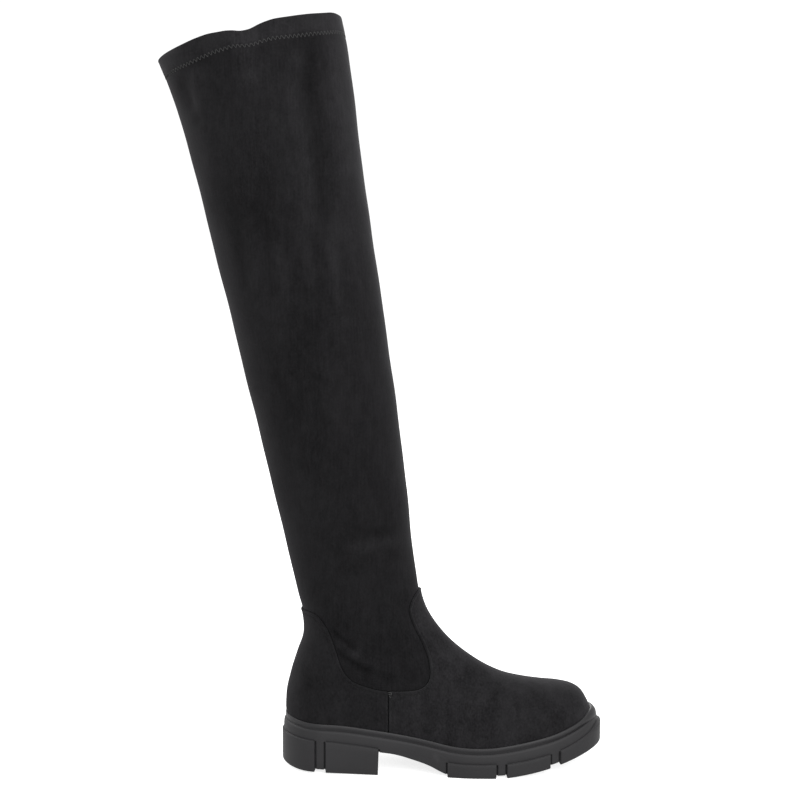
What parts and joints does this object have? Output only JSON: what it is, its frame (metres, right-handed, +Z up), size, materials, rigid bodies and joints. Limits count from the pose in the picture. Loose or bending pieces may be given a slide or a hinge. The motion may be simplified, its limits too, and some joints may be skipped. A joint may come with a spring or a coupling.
{
  "type": "over-the-knee boot",
  "caption": "Right over-the-knee boot with a close stretch leg, raised vamp and heel quarter, round toe and a thick lug sole with a block heel.",
  "frame": {"origin": "middle of the boot's box in plan, on the floor under the sole", "axes": "+X from heel to toe, +Y to the inner side of the foot, +Z up the leg"},
  "size_m": [0.3748, 0.1228, 0.6364],
  "materials": {
    "black_suede": "soft stretch microsuede",
    "black_suede_overlay": "soft microsuede",
    "sole_rubber": "matt moulded",
    "welt_rubber": "satin moulded",
    "insole_cloth": "woven"
  },
  "bodies": {
    "root": {"upper": "black_suede", "vamp": "black_suede_overlay", "quarter": "black_suede_overlay", "sole": "sole_rubber", "welt": "welt_rubber", "insole": "insole_cloth"}
  },
  "joints": []
}
